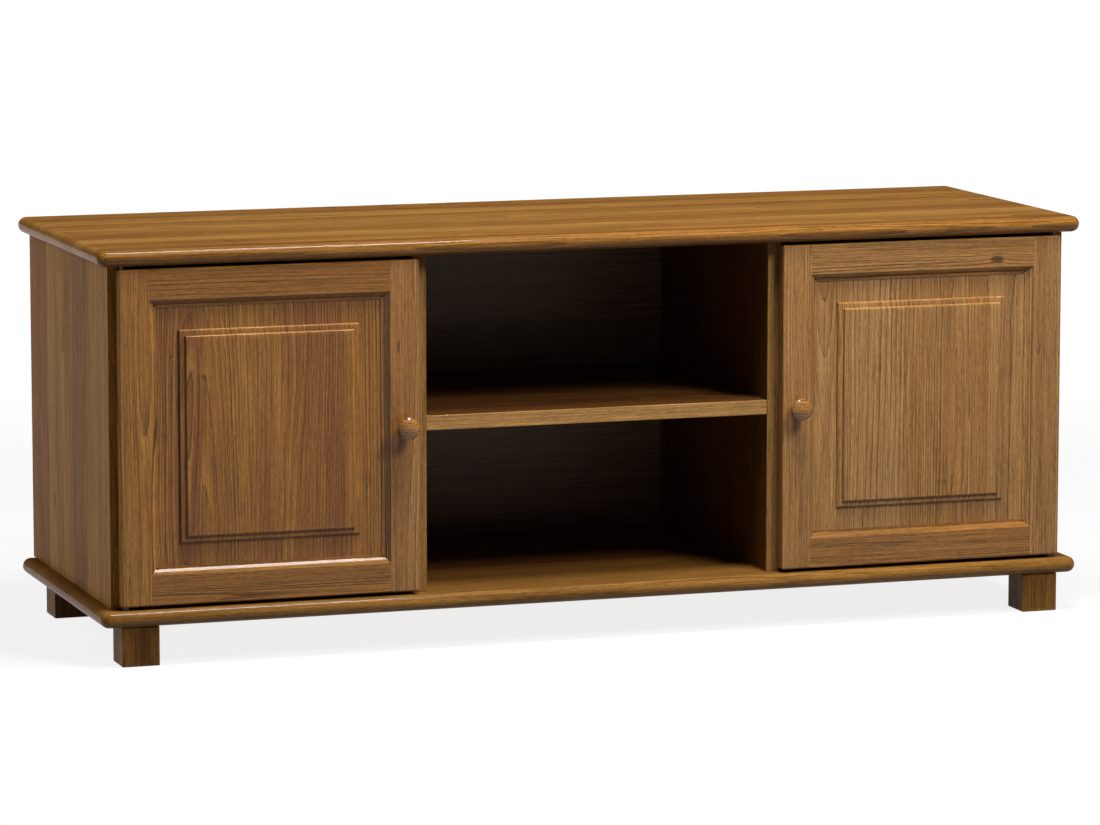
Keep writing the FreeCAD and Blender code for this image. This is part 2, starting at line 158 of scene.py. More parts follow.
class PineFinish(PropertyGroup):
    """Colours, figure and lacquer of the stained pine."""

    pale: paint("Pale wood", "Early wood between the growth lines", (0.515, 0.255, 0.056))
    middle: paint("Middle brown", "Stain on ordinary staves", (0.345, 0.141, 0.027))
    # Greyer, bluer early wood: painted sheen that stands in for the lamps' reflection on the lacquer
    greyed_and_painted_sheen: paint("Faded wood", "Early wood that light has greyed", (0.5, 0.275, 0.1))
    red: paint("Red brown", "Stain on the redder staves", (0.265, 0.095, 0.026))
    dark: paint("Growth line", "Late wood and resin streaks", (0.08, 0.03, 0.007))
    lacquer_roughness: fraction("Lacquer roughness", "Roughness of the wood under the coat", 0.5)
    sheen: fraction("Gloss", "Specular level of the wood under the coat", 0.05)
    coat: fraction("Coat", "Weight of the clear coat", 0.35)
    coat_roughness: fraction("Coat roughness", "Roughness of the clear coat", 0.11)
    relief: metres("Grain relief", "Height of the grain under the lacquer", 0.00035)


class BoardShape(PropertyGroup):
    """Edges of the boards."""

    ease: metres("Eased edge", "Radius on the edges of the uprights and shelves", 0.001)
    foot_ease: metres("Foot edge", "Radius on the edges of the feet", 0.0012)
    wear: metres("Wear band", "How far the rubbed tone reaches in from an edge", 0.004)
    corner_extra: metres("Plan corner", "Plan radius beyond the half-round at a corner", 0.0011)
    edge_flat: metres("Edge flat", "Flat left in the middle of a half-round edge", 0.0002)
    edge_steps: count("Edge steps", "Facets round a half-round edge", 16)
    corner_steps: count("Corner steps", "Facets round a plan corner", 10)


class DoorShape(PropertyGroup):
    """Section of the door frames and the raised panels."""

    flat: metres("Frame flat", "Flat face of a stile or rail", 0.041)
    quirk: metres("Quirk", "Small step where the moulding starts", 0.001)
    round_width: metres("Round width", "Width of the quarter round", 0.007)
    round_drop: metres("Round drop", "Fall of the quarter round", 0.0058)
    fillet: metres("Fillet", "Narrow flat between the round and the panel", 0.0035)
    groove: metres("Groove", "Depth of the panel groove", 0.009)
    edge_round: metres("Door edge", "Radius on the outer edges of a door", 0.003)
    recess: metres("Panel recess", "Depth of the panel's field behind the door's face", 0.008)
    panel_edge: metres("Panel edge", "Thickness of the panel's thin edge", 0.005)
    margin: metres("Panel margin", "Width of the field around the raised tiers", 0.0305)
    tier_width: metres("Tier width", "Width of the lower tier's step", 0.008)
    tier_rise: metres("Tier rise", "Height of each tier", 0.004)
    tier_round: metres("Tier edge", "Radius on the front edges of the tiers", 0.003)


class KnobShape(PropertyGroup):
    """Turned section of the knobs."""

    foot: metres("Foot", "Diameter at the door", 0.017)
    neck: metres("Neck", "Diameter of the waist", 0.013)
    crown: metres("Crown", "Depth of the domed front", 0.007)
    swell: metres("Swell", "Depth of the rounded back", 0.009)
    rim_bevel: metres("Rim", "How far the rounding of the rim reaches", 0.0009)
    steps: count("Steps", "Facets round the knob", 64)


class HardwareFinish(PropertyGroup):
    """Metal, plastic and back board."""

    steel: paint("Zinc steel", "Plated screws, bolts and plates", (0.6, 0.6, 0.58))
    bronzed: paint("Bronzed steel", "Dark pivot pins", (0.09, 0.065, 0.045))
    brass: paint("Brass", "Pivot bushes", (0.7, 0.5, 0.2))
    plastic: paint("Brown plastic", "Cases of the catches", (0.11, 0.062, 0.03))
    magnet: paint("Magnet", "Ground ferrite", (0.12, 0.12, 0.125))
    beech: paint("Beech", "Bare dowels", (0.6, 0.4, 0.23))
    back_board: paint("Back board", "Stained back panel", (0.25, 0.162, 0.1))
    head: metres("Screw head", "Diameter of the small screw heads", 0.006)
    head_rise: metres("Head height", "Height of the small screw heads", 0.0018)
    slot_width: metres("Cross width", "Width of the cross in a screw head", 0.0008)


class StudioSettings(PropertyGroup):
    """Floor, light and camera."""

    floor: paint("Floor", "Colour of the floor", (0.15, 0.15, 0.15))
    near_glow: fraction("Near glow", "White added to the floor round the cabinet", 0.84)
    far_glow: fraction("Far glow", "White added to the floor further off", 1.0)
    low_light: number("Low light", "World light near the horizon", 0.03)
    high_light: number("High light", "World light overhead", 0.08)
    key: number("Key light", "Power of the lamp at the front right", 91.0)
    overhead: number("Overhead light", "Power of the lamp above", 53.0)
    side: number("Side light", "Power of the lamp at the rear left", 40.0)
    camera_place: FloatVectorProperty(
        name="Camera", description="Where the camera stands", subtype="XYZ",
        default=(-2.3326, -6.8850, 1.3076))
    camera_yaw: number("Yaw", "Turn of the camera to the right", math.radians(18.70), "ANGLE")
    camera_pitch: number("Pitch", "Tilt of the camera downwards", math.radians(8.042), "ANGLE")
    camera_lens: number("Lens", "Focal length in millimetres", 172.59)


class NodeMaker:
    """Short calls that add and join the nodes of one tree."""

    def __init__(self, tree):
        self.tree = tree

    def feed(self, socket, value):
        if isinstance(value, bpy.types.NodeSocket):
            self.tree.links.new(value, socket)
        else:
            socket.default_value = value

    def fill(self, node, inputs):
        for name, value in inputs.items():
            self.feed(node.inputs[name], value)

    def add(self, kind, inputs=None, **settings):
        node = self.tree.nodes.new(kind)
        for name, value in settings.items():
            setattr(node, name, value)
        self.fill(node, inputs or {})
        return node

    def sockets(self, labels, kind="Float", in_out="INPUT"):
        """Sockets on the outside of the tree."""
        for label in labels:
            self.tree.interface.new_socket(label, in_out=in_out, socket_type="NodeSocket" + kind)

    def math(self, operation, *values):
        return self.add("ShaderNodeMath", dict(enumerate(values)), operation=operation).outputs[0]

    def chain(self, operation, values):
        """Values taken together two by two, from the first to the last."""
        total = values[0]
        for value in values[1:]:
            total = self.math(operation, total, value)
        return total

    def plus(self, *values):
        return self.chain("ADD", values)

    def minus(self, *values):
        return self.chain("SUBTRACT", values)

    def times(self, *values):
        return self.chain("MULTIPLY", values)

    def larger(self, *values):
        return self.chain("MAXIMUM", values)

    def over(self, value, divisor):
        return self.math("DIVIDE", value, divisor)

    def linear(self, value, factor, start):
        return self.math("MULTIPLY_ADD", value, factor, start)

    def length(self, *sides):
        return self.math("SQRT", self.plus(*(self.math("POWER", side, 2.0) for side in sides)))

    def vector_math(self, operation, first, second):
        return self.add("ShaderNodeVectorMath", {0: first, 1: second}, operation=operation).outputs[0]

    def scaled(self, vector, factors):
        return self.vector_math("MULTIPLY", vector, factors)

    def joined(self, x, y, z=0.0):
        return self.add("ShaderNodeCombineXYZ", {"X": x, "Y": y, "Z": z}).outputs[0]

    def split(self, vector):
        return self.add("ShaderNodeSeparateXYZ", {"Vector": vector}).outputs

    def channels(self, colour):
        return self.add("ShaderNodeSeparateColor", {"Color": colour}).outputs

    def grey(self, level):
        return self.add("ShaderNodeCombineColor", {"Red": level, "Green": level, "Blue": level}).outputs[0]

    def dice(self, key):
        """Chance values, as a colour and a number, for each key."""
        return self.add("ShaderNodeTexWhiteNoise", {"Vector": key}, noise_dimensions="2D").outputs

    def object_place(self):
        return self.add("ShaderNodeTexCoord").outputs["Object"]

    def noise(self, vector, steps, detail=2.0, roughness=0.5):
        """Noise that repeats so many steps to the metre in each direction."""
        inputs = {"Vector": self.scaled(vector, steps), "Scale": 1.0, "Detail": detail}
        return self.add("ShaderNodeTexNoise", {**inputs, "Roughness": roughness}).outputs[0]

    def ramp(self, value, low, high):
        """Smooth rise from 0 at low to 1 at high, or a fall where low is the larger."""
        inputs = {"Value": value, "From Min": low, "From Max": high, "To Min": 0.0, "To Max": 1.0}
        return self.add("ShaderNodeMapRange", inputs, interpolation_type="SMOOTHSTEP").outputs[0]

    def between(self, factor, first, second, blend="MIX"):
        """Mix of two colours."""
        node = self.add("ShaderNodeMix", data_type="RGBA", blend_type=blend)
        for index, value in ((0, factor), (6, first), (7, second)):
            self.feed(node.inputs[index], value)
        return node.outputs[2]


def rgba(colour):
    return (*colour, 1.0)


def new_material(name):
    """Empty material with its node maker and its shader."""
    material = bpy.data.materials.new(name)
    material.use_nodes = True
    nodes = NodeMaker(material.node_tree)
    shader = material.node_tree.nodes["Principled BSDF"]
    return material, nodes, shader


def add_bump(nodes, shader, height, distance):
    bump = nodes.add("ShaderNodeBump", {"Height": height, "Distance": distance, "Strength": 1.0})
    nodes.fill(shader, {"Normal": bump.outputs["Normal"]})


def pine_figure(wood):
    """Node group that turns a place in a board into stained pine: its colour, roughness and height."""
    name = "pine figure"
    if name in bpy.data.node_groups:
        return bpy.data.node_groups[name]
    tree = bpy.data.node_groups.new(name, "ShaderNodeTree")
    nodes = NodeMaker(tree)
    nodes.sockets(PINE_INPUTS)
    nodes.sockets(("Colour",), "Color", "OUTPUT")
    nodes.sockets(("Roughness", "Height"), "Float", "OUTPUT")
    inlet = nodes.add("NodeGroupInput").outputs
    along, across, depth, seed = (inlet[label] for label in PINE_INPUTS[:4])
    plus, minus, times, over = nodes.plus, nodes.minus, nodes.times, nodes.over
    larger, linear, ramp, noise = nodes.larger, nodes.linear, nodes.ramp, nodes.noise
    between = nodes.between

    # A place that differs from board to board, for the noises
    shift = nodes.joined(*(times(seed, step) for step in (3.7, 1.9, 0.7)))
    thickness = times(depth, inlet["Cut"])
    place = nodes.vector_math("ADD", nodes.joined(along, across, thickness), shift)
    fine_place = nodes.vector_math("ADD", nodes.joined(along, across, depth), shift)

    # Staves of uneven width, glued edge to edge, each with its own chance values
    sway = noise(nodes.scaled(place, (0.0, 1.0, 0.0)), (0.0, 11.0, 0.0), detail=0.0)
    stave_place = plus(over(across, inlet["Stave"]), times(sway, 0.9))
    stave_index = nodes.math("FLOOR", stave_place)
    stave_share = nodes.math("FRACT", stave_place)
    stave_key = nodes.joined(stave_index, seed)
    chance = nodes.channels(nodes.dice(stave_key)["Color"])
    tone_chance = nodes.channels(nodes.dice(nodes.scaled(stave_key, (1.7, 2.3, 0.0)))["Color"])
    joint = ramp(nodes.math("ABSOLUTE", minus(stave_share, 0.5)), 0.492, 0.5)

    # The heart of the tree runs below each stave, and wanders along it
    wander_key = nodes.scaled(nodes.joined(along, stave_index, seed), (1.5, 7.31, 5.3))
    wander_node = nodes.add("ShaderNodeTexNoise", {"Vector": wander_key, "Scale": 1.0, "Detail": 1.5})
    wander = nodes.channels(wander_node.outputs["Color"])
    heart_range = times(inlet["Stave"], 1.8)
    heart_side = linear(minus(chance[0], 0.5), heart_range, inlet["Heart"])
    heart_sway = times(minus(wander[0], 0.5), HEART_SWAY)
    heart_deep = linear(chance[1], HEART_RANGE, HEART_DEPTH)
    heart_dip = times(minus(wander[1], 0.5), HEART_DIP)
    from_middle = times(minus(stave_share, 0.5), inlet["Stave"])
    aside = minus(from_middle, heart_side, heart_sway)
    below = plus(thickness, heart_deep, heart_dip)
    from_heart = nodes.length(aside, below)

    # Knots: a sparse scatter, and one that may be placed by hand
    cell = nodes.add("ShaderNodeTexVoronoi", {"Vector": nodes.scaled(place, KNOT_CELL), "Scale": 1.0},
                     voronoi_dimensions="2D", feature="F1").outputs
    cell_middle = nodes.split(cell["Position"])
    spot = nodes.split(place)
    scatter = [minus(spot[i], over(cell_middle[i], KNOT_CELL[i])) for i in range(2)]
    scatter_size = times(ramp(nodes.channels(cell["Color"])[0], 0.72, 1.0), LARGEST_KNOT)
    placed = [minus(along, inlet["Knot along"]), minus(across, inlet["Knot across"])]
    knot_core = 0.0
    knot_pull = 0.0
    for offset, size in ((scatter, scatter_size), (placed, inlet["Knot size"])):
        reach = nodes.length(times(offset[0], 0.5), offset[1])
        share = over(reach, larger(size, 0.00005))
        fade = nodes.math("EXPONENT", times(nodes.math("POWER", share, 2.0), -0.35))
        knot_pull = plus(knot_pull, times(fade, size, 0.55))
        knot_core = larger(knot_core, ramp(share, 1.05, 0.55))

    # Growth rings: pale early wood that ends in a late wood line of an even width on the face
    crook = times(minus(noise(place, CROOK), 0.5), RING_WAVER)
    slant = larger(over(nodes.math("ABSOLUTE", aside), from_heart), 0.14)
    fray = times(minus(noise(place, FRAY, detail=1.0), 0.5), slant, FRAY_DEPTH)
    bent = plus(from_heart, crook, knot_pull, fray)
    ring_step = times(inlet["Ring"], linear(chance[2], 0.7, 0.65))
    ring_place = over(bent, ring_step)
    ring_share = nodes.math("FRACT", ring_place)
    ring_key = nodes.joined(nodes.math("FLOOR", ring_place), stave_index)
    ring_chance = nodes.dice(ring_key)["Value"]
    swell = ramp(noise(place, SWELL), 0.3, 0.65)
    to_line = times(minus(1.0, ring_share), ring_step)
    line = ramp(over(to_line, slant), LINE_START, LINE_FULL)
    dusk = times(ramp(ring_share, 0.3, 1.0), 0.3)
    plainness = linear(inlet["Edge"], -0.7, 1.0)
    strength = times(linear(ring_chance, 0.7, 0.3), linear(swell, 0.6, 0.4))
    late = times(larger(line, dusk), strength, inlet["Figure"], plainness)
    early = times(ramp(ring_share, 0.42, 0.1), ramp(ring_chance, 0.35, 0.9))

    # Fibres, short pores and dark flecks, and long resin streaks
    fibre = noise(fine_place, FIBRE, detail=3.0, roughness=0.7)
    strand = noise(fine_place, STRAND, detail=1.0)
    pore = noise(fine_place, PORE, detail=1.0)
    fleck = ramp(noise(fine_place, FLECK, detail=1.0), 0.63, 0.74)
    streak = ramp(noise(place, STREAK, detail=1.0), 0.72, 0.79)
    broad = noise(place, BROAD)
    blotch = noise(place, BLOTCH, detail=3.0)

    # Stain and lacquer over all of it, then painted shade over the whole piece, and the rubbed colour on
    # worn edges and as painted light on lit fronts
    spread = times(minus(tone_chance[0], 0.5), inlet["Spread"])
    patches = plus(linear(broad, 0.8, -0.2), linear(blotch, 0.3, -0.15))
    tone = ramp(plus(spread, inlet["Tone"], patches), 0.0, 1.0)
    ruddy = times(ramp(tone_chance[1], 0.35, 0.9), ramp(broad, 0.25, 0.6))
    # Early wood greyed, per piece, towards the painted sheen
    pale = between(inlet["Faded"], rgba(wood.pale), rgba(wood.greyed_and_painted_sheen))
    colour = between(tone, pale, rgba(wood.middle))
    colour = between(times(ruddy, inlet["Ruddy"]), colour, rgba(wood.red))
    colour = between(times(early, 0.45), colour, pale)
    colour = between(times(late, 1.15), colour, rgba(wood.dark))
    lines = nodes.grey(linear(pore, 0.9, linear(fibre, 2.1, linear(strand, 0.6, -0.75))))
    colour = between(1.0, colour, lines, "MULTIPLY")
    weights = ((fleck, 0.5), (streak, 0.6), (joint, 0.35), (knot_core, 0.85))
    marks = larger(*(times(mark, weight) for mark, weight in weights))
    colour = between(marks, colour, rgba(wood.dark))
    # Painted shade: each piece's factor darkens its whole colour for the shade it stands in, and plain
    # edges are painted 15% lighter
    shade = times(inlet["Painted shade"], linear(inlet["Edge"], 0.15, 1.0))
    colour = between(1.0, colour, nodes.grey(shade), "MULTIPLY")
    # The rubbed colour: bared wood where edges wear, and painted light on the fronts that the wear layer
    # marks
    evenness = larger(ramp(blotch, 0.3, 0.7), times(inlet["Edge"], 0.8))
    bared_and_lit = between(1.0, pale, lines, "MULTIPLY")
    colour = between(times(inlet["Wear"], evenness, inlet["Rub and painted light"]), colour, bared_and_lit)

    rough = linear(minus(fibre, 0.5), 0.25, wood.lacquer_roughness)
    rough = plus(rough, linear(blotch, 0.12, -0.06))
    height = minus(linear(fibre, 0.7, times(late, 0.5)), marks)
    nodes.add("NodeGroupOutput", {"Colour": colour, "Roughness": rough, "Height": height})
    return tree


def stained_pine(name, grain, middle, look):
    """Lacquered pine for one piece, with its figure set out from the middle of the piece."""
    wood = bpy.context.scene.cabinet_wood
    material, nodes, shader = new_material(name)
    split = nodes.split(nodes.object_place())
    figure = nodes.add("ShaderNodeGroup", node_tree=pine_figure(wood))
    for label, axis in zip(("Along", "Across", "Depth"), grain):
        nodes.feed(figure.inputs[label], nodes.minus(split[axis], middle["XYZ".index(axis)]))
    for label in ("Wear", "Edge"):
        share = nodes.add("ShaderNodeAttribute", attribute_name=label.lower())
        nodes.feed(figure.inputs[label], share.outputs["Fac"])
    settings = {**PINE_LOOK, "Coat": wood.coat, "Gloss": wood.sheen, **look}
    nodes.fill(shader, {
        "Base Color": figure.outputs["Colour"], "Roughness": figure.outputs["Roughness"],
        "Coat Weight": settings.pop("Coat"), "Coat Roughness": wood.coat_roughness,
        "Specular IOR Level": settings.pop("Gloss"),
    })
    nodes.fill(figure, settings)
    add_bump(nodes, shader, figure.outputs["Height"], wood.relief)
    return material


def brushed_metal(name, colour, roughness):
    """Plated or turned metal with fine scratches and dull patches."""
    material, nodes, shader = new_material(name)
    place = nodes.object_place()
    scratch = nodes.noise(place, (900.0, 2600.0, 140.0), detail=3.0)
    patch = nodes.noise(place, (160.0, 160.0, 160.0), detail=4.0)
    dull = tuple(0.72 * part for part in colour)
    tint = nodes.between(nodes.ramp(patch, 0.3, 0.75), rgba(colour), rgba(dull))
    rough = nodes.linear(patch, 0.12, nodes.linear(scratch, 0.22, roughness - 0.11))
    nodes.fill(shader, {"Base Color": tint, "Roughness": rough, "Metallic": 1.0})
    add_bump(nodes, shader, scratch, 0.00003)
    return material


def moulded(name, colour, roughness, grain_size, relief):
    """Moulded plastic or sintered ferrite with a fine, even grain."""
    material, nodes, shader = new_material(name)
    place = nodes.object_place()
    grain = nodes.noise(place, (1 / grain_size,) * 3, detail=2.0)
    cloud = nodes.noise(place, (70.0, 70.0, 70.0), detail=3.0)
    lighter = tuple(min(1.0, 1.35 * part) for part in colour)
    tint = nodes.between(cloud, rgba(colour), rgba(lighter))
    rough = nodes.linear(grain, 0.2, roughness - 0.1)
    nodes.fill(shader, {"Base Color": tint, "Roughness": rough, "Specular IOR Level": 0.22})
    add_bump(nodes, shader, grain, relief)
    return material


def plain_grain(name, colour, grain, roughness, contrast, gloss):
    """Wood or stained board with fine straight fibres and no lacquer."""
    material, nodes, shader = new_material(name)
    split = nodes.split(nodes.object_place())
    place = nodes.joined(*(split[axis] for axis in grain))
    fibre = nodes.noise(place, (7.0, 420.0, 420.0), detail=3.0, roughness=0.6)
    band = nodes.noise(place, (2.2, 55.0, 55.0), detail=3.0)
    fleck = nodes.ramp(nodes.noise(place, (30.0, 380.0, 380.0), detail=1.0), 0.62, 0.72)
    mixed = nodes.linear(fibre, 0.6, nodes.times(band, 0.4))
    dark = tuple(part * (1 - contrast) for part in colour)
    light = tuple(min(1.0, part * (1 + contrast)) for part in colour)
    tint = nodes.between(nodes.ramp(mixed, 0.3, 0.7), rgba(dark), rgba(light))
    tint = nodes.between(nodes.times(fleck, 0.5), tint, rgba(dark))
    rough = nodes.linear(fibre, 0.2, roughness - 0.1)
    nodes.fill(shader, {"Base Color": tint, "Roughness": rough, "Specular IOR Level": gloss})
    add_bump(nodes, shader, mixed, 0.0002)
    return material


def shade(mesh):
    """Smooth faces that meet in sharp corners."""
    mesh.polygons.foreach_set("use_smooth", [True] * len(mesh.polygons))
    mesh.set_sharp_from_angle(angle=SHARP_ANGLE)


def show(name, data):
    """New object in the scene."""
    thing = bpy.data.objects.new(name, data)
    bpy.context.scene.collection.objects.link(thing)
    return thing


def finished_mesh(name, shell):
    """Plain mesh of a closed shell, with its faces outwards."""
    bmesh.ops.remove_doubles(shell, verts=shell.verts, dist=WELD)
    bmesh.ops.recalc_face_normals(shell, faces=shell.faces)
    mesh = bpy.data.meshes.new(name)
    shell.to_mesh(mesh)
    shell.free()
    shade(mesh)
    return mesh


def add_piece(name, mesh, material, node):
    """Shown piece that rides on the body of the CAD node that it stands for."""
    piece = show(name, mesh)
    mesh.materials.clear()
    mesh.materials.append(material)
    weighted = piece.modifiers.new("flat faces stay flat", "WEIGHTED_NORMAL")
    weighted.keep_sharp = True
    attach(piece, frame["nodes"][node]["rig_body"])
    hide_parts(node)


def add_pine(node, shell, grain, **look):
    """Pine piece in place of a CAD node of the same outline."""
    low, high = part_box(node)
    material = stained_pine("pine " + node.replace("_", " "), grain, (low + high) / 2, look)
    add_piece("pine_" + node, finished_mesh(node, shell), material, node)


def round_edges(shell, edges, radius, facets):
    bmesh.ops.bevel(shell, geom=edges, offset=radius, segments=facets, profile=0.5, affect="EDGES")


def eased_block(low, high, ease, wear):
    """Box with rounded edges and a band of wear along them."""
    shell = bmesh.new()
    worn = shell.verts.layers.float.new("wear")
    bmesh.ops.create_cube(shell, size=1.0)
    for corner in shell.verts:
        corner.co = Vector([(low[i] + high[i]) / 2 + corner.co[i] * (high[i] - low[i]) for i in range(3)])
    round_edges(shell, shell.edges[:], ease, EASE_STEPS)
    for corner in shell.verts:
        corner[worn] = 1.0
    smallest = min(high[i] - low[i] for i in range(3))
    sides = [face for face in shell.faces if max(abs(part) for part in face.normal) > 0.9999]
    sides = [face for face in sides if face.calc_area() > (smallest / 2) ** 2]
    reach = min(wear, smallest / 4)
    bmesh.ops.inset_individual(shell, faces=sides, thickness=reach, use_even_offset=True)
    for side in sides:
        for corner in side.verts:
            corner[worn] = 0.0
    return shell


def paint_front_light(shell, reach):
    """Painted light, through the wear layer, and a plain edge all over the front of a block, as far back
    as the reach.
    """
    worn = shell.verts.layers.float["wear"]
    plain = shell.verts.layers.float.new("edge")
    front = min(corner.co.y for corner in shell.verts) + reach
    for corner in shell.verts:
        if corner.co.y < front:
            corner[worn] = 1.0
            corner[plain] = 1.0


def add_blocks(looks, grain, ease, rubbed_and_lit=True):
    """Pine blocks, with painted light on their fronts or without, each with its own look."""
    for node, look in looks.items():
        shell = eased_block(*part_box(node), ease, bpy.context.scene.cabinet_boards.wear)
        if rubbed_and_lit:
            paint_front_light(shell, ease)
        add_pine(node, shell, grain, **look)


def ringed_shell(rings):
    """Closed shell over rings of equal length, each of points and their wear."""
    shell = bmesh.new()
    worn = shell.verts.layers.float.new("wear")
    loops = []
    for points, values in rings:
        loop = [shell.verts.new(point) for point in points]
        for corner, value in zip(loop, values):
            corner[worn] = value
        loops.append(loop)
    for first, second in zip(loops, loops[1:]):
        for index in range(len(first)):
            other = (index + 1) % len(first)
            shell.faces.new((first[index], first[other], second[other], second[index]))
    shell.faces.new(loops[0])
    shell.faces.new(loops[-1])
    return shell


def plan_outline(low, high, inset, radius, steps):
    """Rounded rectangle in plan, as points from corner to corner."""
    points = []
    for quarter, (x_end, y_end) in enumerate(((1, 1), (0, 1), (0, 0), (1, 0))):
        x_middle = (high.x - inset - radius) if x_end else (low.x + inset + radius)
        y_middle = (high.y - inset - radius) if y_end else (low.y + inset + radius)
        for step in range(steps + 1):
            turn = math.radians(90) * (quarter + step / steps)
            points.append((x_middle + radius * math.cos(turn), y_middle + radius * math.sin(turn)))
    return points


def half_round_board(low, high, shape):
    """Board with half-round edges all the way round and rounded plan corners."""
    radius = (high.z - low.z - shape.edge_flat) / 2
    middle = (low.z + high.z) / 2
    steps = shape.edge_steps // 2
    rings = []
    plainness = []
    for side, rub in ((-1, 0.3), (1, 0.7)):
        for step in range(steps + 1):
            share = step / steps
            turn = math.radians(90) * (1 - share if side < 0 else share)
            out = radius * math.cos(turn)
            height = middle + side * (shape.edge_flat / 2 + radius * math.sin(turn))
            outline = plan_outline(low, high, radius - out, shape.corner_extra + out, shape.corner_steps)
            wear = [rub * math.sin(2 * turn)] * len(outline)
            rings.append(([(x, y, height) for x, y in outline], wear))
            plainness += [math.cos(turn)] * len(outline)
    shell = ringed_shell(rings)
    # The edge layer keeps the figure plain round the half-round edge, and the pine figure paints it
    # lighter there against the painted shade
    plain = shell.verts.layers.float.new("edge")
    for corner, value in zip(shell.verts, plainness):
        corner[plain] = value
    caps = [face for face in shell.faces if len(face.verts) > 4]
    bmesh.ops.inset_individual(shell, faces=caps, thickness=shape.wear, use_even_offset=True)
    return shell


def arc_points(middle, radius, start, end, steps):
    """Points on an arc between two angles in degrees."""
    turns = [math.radians(start + (end - start) * step / steps) for step in range(steps + 1)]
    return [(middle[0] + radius * math.cos(turn), middle[1] + radius * math.sin(turn)) for turn in turns]


def frame_width(door):
    return door.flat + door.round_width + door.fillet


def frame_section(door, thickness, inset):
    """Section of a stile or rail with its wear: p runs in from the outer edge and q back from the front.

    The inset pulls the outer faces in, for the rounded ends of the stiles.
    """
    band = 0.004
    corner = door.edge_round
    turn = corner - inset
    inner = frame_width(door)
    moulding = door.quirk + door.round_drop
    points = [(p, q, 1.0) for p, q in arc_points((corner, corner), turn, 180, 270, ROUND_STEPS)]
    points.append((corner + band, inset, 0.0))
    points.append((door.flat - band, inset, 0.0))
    points.append((door.flat, inset, 0.6))
    for step in range(MOULDING_STEPS + 1):
        share = step / MOULDING_STEPS
        drop = door.round_drop * (0.75 * share + 0.25 * share ** 2)
        wear = 0.5 * math.sin(math.pi * share)
        points.append((door.flat + door.round_width * share, door.quirk + drop, wear))
    groove_back = door.recess + door.panel_edge
    points += [
        (inner, moulding, 0.3),
        (inner, door.recess, 0.0),
        (inner - door.groove, door.recess, 0.0),
        (inner - door.groove, groove_back, 0.0),
        (inner, groove_back, 0.0),
        (inner, thickness - inset, 0.4),
        (inner - band, thickness - inset, 0.0),
        (corner + band, thickness - inset, 0.0),
    ]
    rear = arc_points((corner, thickness - corner), turn, 90, 180, ROUND_STEPS)
    points += [(p, q, 1.0) for p, q in rear]
    return [(p, min(max(q, inset), thickness - inset), value) for p, q, value in points]


def stile_shell(door, low, high, outer_is_high):
    """Full-height stile with rounded outer edges and ends."""
    turns = [math.radians(90) * step / ROUND_STEPS for step in range(ROUND_STEPS + 1)]
    ends = [(door.edge_round * (1 - math.cos(t)), door.edge_round * (1 - math.sin(t))) for t in turns]
    stations = [(low.z + rise, inset) for rise, inset in ends]
    stations += [(high.z - rise, inset) for rise, inset in reversed(ends)]
    rings = []
    for z, inset in stations:
        section = frame_section(door, high.y - low.y, inset)
        points = [(high.x - p if outer_is_high else low.x + p, low.y + q, z) for p, q, value in section]
        rings.append((points, [value for p, q, value in section]))
    return ringed_shell(rings)


def rail_shell(door, low, high, door_low, door_high, outer_is_high):
    """Rail between the stiles, mitred along the moulding and square elsewhere."""
    section = frame_section(door, high.y - low.y, 0.0)
    wear = [value for p, q, value in section]
    rings = []
    for start, inward in ((door_low.x, 1), (door_high.x, -1)):
        points = []
        for p, q, value in section:
            reach = max(p, door.flat) if q < door.recess else frame_width(door)
            z = high.z - p if outer_is_high else low.z + p
            points.append((start + inward * reach, low.y + q, z))
        rings.append((points, wear))
    return ringed_shell(rings)


def panel_shell(door, low, high, door_low):
    """Raised panel: a thin edge for the grooves and two tiers with eased edges."""
    band = 0.003
    field = door_low.x - low.x + frame_width(door) + door.margin
    loops = [
        (0.0, door.recess + door.panel_edge, 0.0),
        (0.0, door.recess, 0.0),
        (field - band, door.recess, 0.0),
    ]
    for tier in range(2):
        start = field + tier * door.tier_width
        base = door.recess - tier * door.tier_rise
        top = base - door.tier_rise
        loops.append((start, base, 0.0))
        middle = (start + door.tier_round, top + door.tier_round)
        loops += [(*point, 1.0) for point in arc_points(middle, door.tier_round, 180, 270, TIER_STEPS)]
        loops.append((start + door.tier_round + band, top, 0.0))
    rings = []
    for inset, q, value in loops:
        xs = (low.x + inset, high.x - inset)
        zs = (low.z + inset, high.z - inset)
        corners = ((xs[0], zs[0]), (xs[1], zs[0]), (xs[1], zs[1]), (xs[0], zs[1]))
        rings.append(([(x, door_low.y + q, z) for x, z in corners], [value] * 4))
    return ringed_shell(rings)


def turned_shell(axis, front, sections, steps):
    """Shape turned about an axis along Y: each section is a radius and a distance in front of the door."""
    turns = [2 * math.pi * step / steps for step in range(steps)]
    rings = []
    for radius, reach in sections:
        circle = [(radius * math.cos(turn), radius * math.sin(turn)) for turn in turns]
        rings.append(([(axis.x + x, front - reach, axis.z + z) for x, z in circle], [0.0] * steps))
    return ringed_shell(rings)


def corners_of(points):
    """Lowest and highest corner of the box round some points."""
    points = list(points)
    return [Vector([pick(point[i] for point in points) for i in range(3)]) for pick in (min, max)]


def islands(node):
    """Lowest and highest corner of each separate solid in a CAD node."""
    shell = bmesh.new()
    shell.from_mesh(frame["nodes"][node].data)
    bmesh.ops.remove_doubles(shell, verts=shell.verts, dist=CLOSE)
    unseen = set(shell.verts)
    boxes = []
    while unseen:
        group = [unseen.pop()]
        for corner in group:
            for edge in corner.link_edges:
                other = edge.other_vert(corner)
                if other in unseen:
                    unseen.remove(other)
                    group.append(other)
        boxes.append(corners_of(corner.co for corner in group))
    shell.free()
    return sorted(boxes, key=lambda box: tuple(round(part, 5) for part in box[0]))


